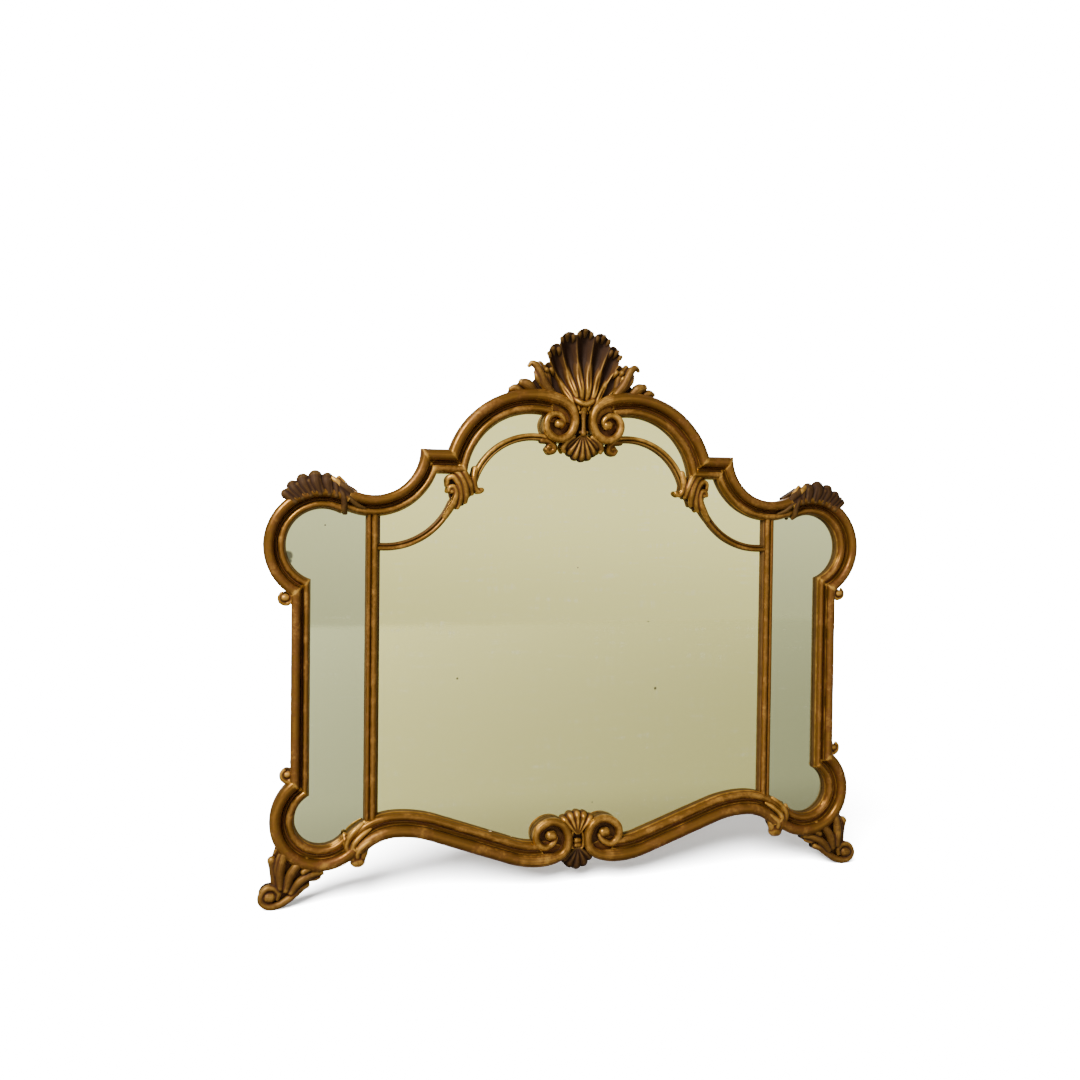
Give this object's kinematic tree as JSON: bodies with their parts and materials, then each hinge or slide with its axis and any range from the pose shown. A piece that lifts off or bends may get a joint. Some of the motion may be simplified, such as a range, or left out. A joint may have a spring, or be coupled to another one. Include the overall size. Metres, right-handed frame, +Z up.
{
  "type": "giltwood overmantel mirror",
  "caption": "Carved gilt wooden overmantel mirror with shaped frame, shell crest, scroll feet, divided plates and swinging hanging rings at the back",
  "frame": {"origin": "middle of the wall face of the upper back batten", "axes": "+X right as seen from the front, +Y away from the viewer into the wall, +Z up"},
  "size_m": [1.25, 0.062, 1.1139],
  "materials": {
    "gilt_wood": "worn water gilding",
    "dark_gilt": "rubbed dark gilding",
    "mirror_glass": "aged silvering",
    "back_wood": "raw aged softwood",
    "iron": "dull",
    "brass": "tarnished"
  },
  "bodies": {
    "frame": {"acanthus_left": "gilt_wood", "acanthus_right": "gilt_wood", "arch_left": "gilt_wood", "arch_right": "gilt_wood", "back_board": "back_wood", "batten_screws": "iron", "board_nails": "iron", "bottom_rail_left": "gilt_wood", "bottom_rail_right": "gilt_wood", "corner_rocaille_left": "dark_gilt", "corner_rocaille_right": "dark_gilt", "crest_leaf_left": "dark_gilt", "crest_leaf_right": "dark_gilt", "crest_pendant": "gilt_wood", "crest_shell": "dark_gilt", "crest_tablet": "gilt_wood", "crest_volute_left": "gilt_wood", "crest_volute_right": "gilt_wood", "curl_drop_left": "gilt_wood", "curl_drop_right": "gilt_wood", "ear_left": "gilt_wood", "ear_right": "gilt_wood", "hanger_strap_left": "brass", "hanger_strap_right": "brass", "lower_arc_left": "gilt_wood", "lower_arc_right": "gilt_wood", "lower_batten": "back_wood", "lower_ear_left": "gilt_wood", "lower_ear_right": "gilt_wood", "mirror_arch_margin_left": "mirror_glass", "mirror_arch_margin_right": "mirror_glass", "mirror_centre": "mirror_glass", "mirror_shoulder_margin_left": "mirror_glass", "mirror_shoulder_margin_right": "mirror_glass", "mirror_side_left": "mirror_glass", "mirror_side_right": "mirror_glass", "rail_pendant": "dark_gilt", "rail_shell": "gilt_wood", "rail_tablet": "gilt_wood", "rail_volute_left": "gilt_wood", "rail_volute_right": "gilt_wood", "scroll_foot_left": "dark_gilt", "scroll_foot_right": "dark_gilt", "scroll_knobs_left": "gilt_wood", "scroll_knobs_right": "gilt_wood", "shoulder_left": "gilt_wood", "shoulder_right": "gilt_wood", "step_left": "gilt_wood", "step_right": "gilt_wood", "stile_left": "gilt_wood", "stile_right": "gilt_wood", "strap_screws": "iron", "upper_arc_left": "gilt_wood", "upper_arc_right": "gilt_wood", "upper_batten": "back_wood", "upright_left": "gilt_wood", "upright_right": "gilt_wood"},
    "ring_l": {"hanger_ring_left": "brass"},
    "ring_r": {"hanger_ring_right": "brass"}
  },
  "joints": [
    {"name": "ring_left_swing", "type": "hinge", "parent": "frame", "child": "ring_l", "pos_m": [-0.543, -0.0144, -0.21], "axis": [1, 0, 0], "range_deg": [0, 170]},
    {"name": "ring_right_swing", "type": "hinge", "parent": "frame", "child": "ring_r", "pos_m": [0.543, -0.0144, -0.21], "axis": [1, 0, 0], "range_deg": [0, 170]}
  ]
}
